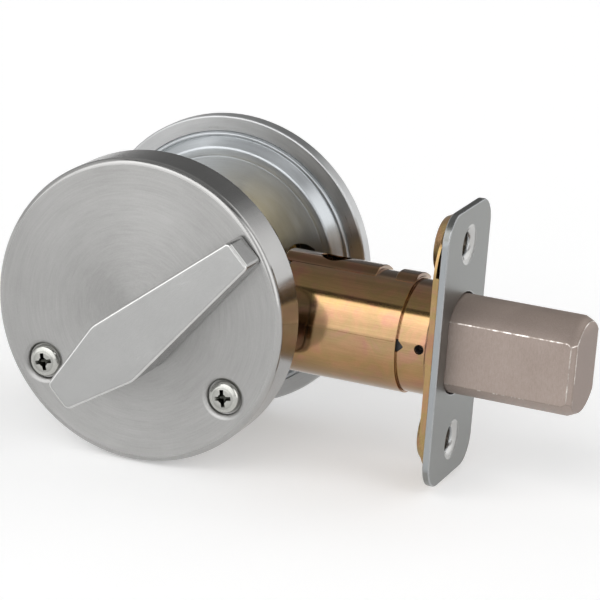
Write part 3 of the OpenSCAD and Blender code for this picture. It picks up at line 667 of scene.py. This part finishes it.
# ---------------------------------------------------------------- nodes carried over from the CAD model
CARRIED = {
    "inside_plate": STEEL, "turn_bushing": NYLON, "wave_washer": DARK, "bolt_guide": NYLON_DARK,
    "inner_cheek": ZINC_PLATE, "outer_cheek": ZINC_PLATE, "case_rivets": STEEL, "case_spacers": STEEL, "detent_spring": DARK,
    "cylinder_body": BRASS, "cylinder_spacer": STEEL, "tail_retainer": STEEL, "driver_pins": BRASS, "pin_springs": SPRING,
    "chamber_caps": BRASS, "turn_clip": DARK, "cam_crank": DARK, "tailpiece": STEEL, "hardened_pin": DARK, "bolt_tail": STEEL,
    "tail_rivet": STEEL, "cylinder_plug": BRASS, "key_pins": BRASS, "plug_driver": BRASS, "driver_screws": SPRING,
}
EDGE = {"pin_springs": 0, "cylinder_plug": 0.12, "cylinder_body": 0.15}
for node_name, mat in CARRIED.items():
    ob = NODES[node_name]
    ob.data.materials.clear()
    ob.data.materials.append(mat)
    w = EDGE.get(node_name, 0.12)
    if w:
        k = ob.modifiers.new("weld", "WELD")
        k.merge_threshold = 2e-6
        b = ob.modifiers.new("edges", "BEVEL")
        b.width, b.segments, b.limit_method = w * MM, 2, "ANGLE"
        b.angle_limit = math.radians(35)
        b.use_clamp_overlap = True
        n = ob.modifiers.new("normals", "WEIGHTED_NORMAL")
        n.mode, n.weight, n.keep_sharp = "FACE_AREA", 50, False

# ---------------------------------------------------------------- floor
floor = prism("studio_floor", [(-9000, -9000), (9000, -9000), (9000, 9000), (-9000, 9000)], -45, -30.2, lambda u, v, h: (u, v, h))
fm = Mat("pale_floor")
fm.b.inputs["Metallic"].default_value = 0.0
fm.b.inputs["Roughness"].default_value = 0.9
fm.b.inputs["Base Color"].default_value = (0.92, 0.92, 0.92, 1)
fm.b.inputs["Emission Color"].default_value = (1, 1, 1, 1)
fm.b.inputs["Emission Strength"].default_value = 0.26
floor.data.materials.append(fm.m)

# ---------------------------------------------------------------- studio light: soft boxes painted on the sky
world = bpy.data.worlds.new("studio")
SCENE.world = world
world.use_nodes = True
wt = world.node_tree
wt.nodes.clear()


def wn(kind, **props):
    n = wt.nodes.new(kind)
    for k_, v_ in props.items():
        setattr(n, k_, v_)
    return n


def wmath(op, a, b=0.0, clamp=False):
    n = wn("ShaderNodeMath", operation=op, use_clamp=clamp)
    for i, v in enumerate((a, b)):
        if isinstance(v, (int, float)):
            n.inputs[i].default_value = v
        else:
            wt.links.new(v, n.inputs[i])
    return n.outputs[0]


tc = wn("ShaderNodeTexCoord")
sx = wn("ShaderNodeSeparateXYZ")
wt.links.new(tc.outputs["Generated"], sx.inputs[0])
wx, wy, wz = sx.outputs
el = wmath("MULTIPLY", wmath("ARCSINE", wz), 180 / PI)
az = wmath("MULTIPLY", wmath("ARCTAN2", wx, wmath("MULTIPLY", wy, -1.0)), 180 / PI)


def step_up(v, at, soft):
    n = wn("ShaderNodeMapRange", interpolation_type="SMOOTHSTEP")
    n.inputs["From Min"].default_value = at - soft
    n.inputs["From Max"].default_value = at + soft
    wt.links.new(v, n.inputs["Value"])
    return n.outputs[0]


def window(v, lo, hi, soft):
    return wmath("MULTIPLY", step_up(v, lo, soft), wmath("SUBTRACT", 1.0, step_up(v, hi, soft)))


def over(base, mask, level):
    """base where mask is 0, level where mask is 1."""
    keep = wmath("MULTIPLY", base, wmath("SUBTRACT", 1.0, mask))
    return wmath("ADD", keep, wmath("MULTIPLY", mask, level))


# az runs from the front (0) round to the right (90) and the back (180)
sky = wmath("MULTIPLY", step_up(el, -90, 1), 0.72)                                          # left side and everything not named
back_az = wmath("ADD", step_up(az, 100, 6), wmath("SUBTRACT", 1.0, step_up(az, -118, 8)), clamp=True)
sky = over(sky, back_az, 0.43)
sky = over(sky, wmath("MULTIPLY", back_az, step_up(el, 45, 3)), 0.36)
sky = over(sky, wmath("MULTIPLY", wmath("ADD", step_up(az, 166, 3), wmath("SUBTRACT", 1.0, step_up(az, -150, 8)), clamp=True), wmath("SUBTRACT", 1.0, step_up(el, 40, 6))), 0.18)
sky = over(sky, step_up(el, 62, 2.5), 0.30)
sky = over(sky, wmath("MULTIPLY", window(az, -95, 95, 12), window(el, 52.5, 62, 0.8)), 0.05)
sky = over(sky, wmath("MULTIPLY", window(az, 110, 161, 3), window(el, -2, 48, 4)), 1.35)
sky = over(sky, wmath("MULTIPLY", window(az, 50, 85, 4), window(el, -30, 45, 3)), 2.0)
key = wmath("ADD", wmath("MULTIPLY", step_up(el, 30, 16), 0.75), 1.8)
key_mask = wmath("MULTIPLY", window(az, -60, 22, 4), window(el, -30, 52.5, 0.8))
sky = wmath("ADD", wmath("MULTIPLY", sky, wmath("SUBTRACT", 1.0, key_mask)), wmath("MULTIPLY", key_mask, key))
bg = wn("ShaderNodeBackground")
bg.inputs["Color"].default_value = (1, 1, 1, 1)
wt.links.new(sky, bg.inputs["Strength"])
plain = wn("ShaderNodeBackground")
plain.inputs["Color"].default_value = (1, 1, 1, 1)
lp = wn("ShaderNodeLightPath")
mx = wn("ShaderNodeMixShader")
wt.links.new(lp.outputs["Is Camera Ray"], mx.inputs[0])
wt.links.new(bg.outputs[0], mx.inputs[1])
wt.links.new(plain.outputs[0], mx.inputs[2])
wo = wn("ShaderNodeOutputWorld")
wt.links.new(mx.outputs[0], wo.inputs[0])
SCENE.view_settings.view_transform = "Standard"
SCENE.view_settings.look = "None"

# ---------------------------------------------------------------- camera
yaw, pitch, roll = math.radians(21.45), math.radians(16.93), math.radians(4.28)
fw = Vector((-math.sin(yaw) * math.cos(pitch), math.cos(yaw) * math.cos(pitch), -math.sin(pitch)))
right = fw.cross(Vector((0, 0, 1))).normalized()
up = right.cross(fw)
r2 = right * math.cos(roll) + up * math.sin(roll)
u2 = -right * math.sin(roll) + up * math.cos(roll)
cam_data = bpy.data.cameras.new("camera")
cam_data.sensor_width = 36
cam_data.lens = 170.6
cam_data.clip_start = 0.01
cam = bpy.data.objects.new("camera", cam_data)
SCENE.collection.objects.link(cam)
m4 = Matrix.Identity(4)
for i in range(3):
    m4[i][0], m4[i][1], m4[i][2] = r2[i], u2[i], -fw[i]
m4[0][3], m4[1][3], m4[2][3] = 0.22943, -0.52026, 0.17273
cam.matrix_world = m4
SCENE.camera = cam
